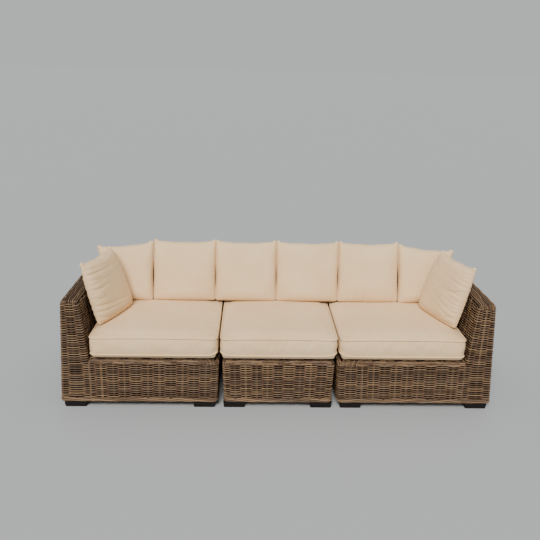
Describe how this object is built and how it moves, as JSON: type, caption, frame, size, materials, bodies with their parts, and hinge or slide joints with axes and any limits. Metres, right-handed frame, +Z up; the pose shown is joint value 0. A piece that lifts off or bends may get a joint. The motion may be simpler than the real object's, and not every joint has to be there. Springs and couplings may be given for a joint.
{
  "type": "rattan garden sofa",
  "caption": "Modular woven rattan garden sofa: two corner seats and an armless seat side by side, with boxed seat cushions and loose square cushions.",
  "frame": {"origin": "on the floor, under the middle of the three seats", "axes": "+X along the sofa to the right of someone who looks at its front, +Y from the front to the back, +Z up"},
  "size_m": [2.7, 0.9, 0.8894],
  "materials": {
    "woven_rattan": "matte",
    "cotton_cover": "matte",
    "frame_timber": "matte",
    "dark_wood": "satin"
  },
  "bodies": {
    "middle_module": {"middle_back_wall": "woven_rattan", "middle_front_apron": "woven_rattan", "middle_left_apron": "woven_rattan", "middle_right_apron": "woven_rattan", "middle_seat_deck": "woven_rattan", "middle_seat_frame": "frame_timber", "middle_back_frame": "frame_timber", "middle_front_frame": "frame_timber", "middle_left_frame": "frame_timber", "middle_right_frame": "frame_timber", "middle_front_left_foot": "dark_wood", "middle_rear_left_foot": "dark_wood", "middle_front_right_foot": "dark_wood", "middle_rear_right_foot": "dark_wood"},
    "left_module": {"left_arm_wall": "woven_rattan", "left_back_wall": "woven_rattan", "left_front_apron": "woven_rattan", "left_side_apron": "woven_rattan", "left_seat_deck": "woven_rattan", "left_seat_frame": "frame_timber", "left_arm_frame": "frame_timber", "left_back_frame": "frame_timber", "left_front_frame": "frame_timber", "left_side_frame": "frame_timber", "left_front_outer_foot": "dark_wood", "left_rear_outer_foot": "dark_wood", "left_front_inner_foot": "dark_wood", "left_rear_inner_foot": "dark_wood"},
    "right_module": {"right_arm_wall": "woven_rattan", "right_back_wall": "woven_rattan", "right_front_apron": "woven_rattan", "right_side_apron": "woven_rattan", "right_seat_deck": "woven_rattan", "right_seat_frame": "frame_timber", "right_arm_frame": "frame_timber", "right_back_frame": "frame_timber", "right_front_frame": "frame_timber", "right_side_frame": "frame_timber", "right_front_outer_foot": "dark_wood", "right_rear_outer_foot": "dark_wood", "right_front_inner_foot": "dark_wood", "right_rear_inner_foot": "dark_wood"},
    "left_seat": {"left_seat_cushion": "cotton_cover"},
    "middle_seat": {"middle_seat_cushion": "cotton_cover"},
    "right_seat": {"right_seat_cushion": "cotton_cover"},
    "left_arm_loose": {"left_arm_cushion": "cotton_cover"},
    "left_corner_loose": {"left_corner_cushion": "cotton_cover"},
    "left_back_loose": {"left_back_cushion": "cotton_cover"},
    "middle_left_loose": {"middle_back_cushion_left": "cotton_cover"},
    "middle_right_loose": {"middle_back_cushion_right": "cotton_cover"},
    "right_back_loose": {"right_back_cushion": "cotton_cover"},
    "right_corner_loose": {"right_corner_cushion": "cotton_cover"},
    "right_arm_loose": {"right_arm_cushion": "cotton_cover"}
  },
  "joints": [
    {"name": "left_module_slide", "type": "slide", "parent": "middle_module", "child": "left_module", "axis": [-1, 0, 0], "range_m": [0, 0.3]},
    {"name": "right_module_slide", "type": "slide", "parent": "middle_module", "child": "right_module", "axis": [1, 0, 0], "range_m": [0, 0.3]},
    {"name": "left_seat_pull", "type": "slide", "parent": "left_module", "child": "left_seat", "axis": [0, -1, 0], "range_m": [0, 0.3]},
    {"name": "middle_seat_pull", "type": "slide", "parent": "middle_module", "child": "middle_seat", "axis": [0, -1, 0], "range_m": [0, 0.3]},
    {"name": "right_seat_pull", "type": "slide", "parent": "right_module", "child": "right_seat", "axis": [0, -1, 0], "range_m": [0, 0.3]},
    {"name": "left_arm_cushion_lift", "type": "slide", "parent": "left_seat", "child": "left_arm_loose", "axis": [0, 0, 1], "range_m": [0, 0.25]},
    {"name": "left_corner_cushion_lift", "type": "slide", "parent": "left_seat", "child": "left_corner_loose", "axis": [0, 0, 1], "range_m": [0, 0.25]},
    {"name": "left_back_cushion_lift", "type": "slide", "parent": "left_seat", "child": "left_back_loose", "axis": [0, 0, 1], "range_m": [0, 0.25]},
    {"name": "middle_left_cushion_lift", "type": "slide", "parent": "middle_seat", "child": "middle_left_loose", "axis": [0, 0, 1], "range_m": [0, 0.25]},
    {"name": "middle_right_cushion_lift", "type": "slide", "parent": "middle_seat", "child": "middle_right_loose", "axis": [0, 0, 1], "range_m": [0, 0.25]},
    {"name": "right_back_cushion_lift", "type": "slide", "parent": "right_seat", "child": "right_back_loose", "axis": [0, 0, 1], "range_m": [0, 0.25]},
    {"name": "right_corner_cushion_lift", "type": "slide", "parent": "right_seat", "child": "right_corner_loose", "axis": [0, 0, 1], "range_m": [0, 0.25]},
    {"name": "right_arm_cushion_lift", "type": "slide", "parent": "right_seat", "child": "right_arm_loose", "axis": [0, 0, 1], "range_m": [0, 0.25]}
  ]
}
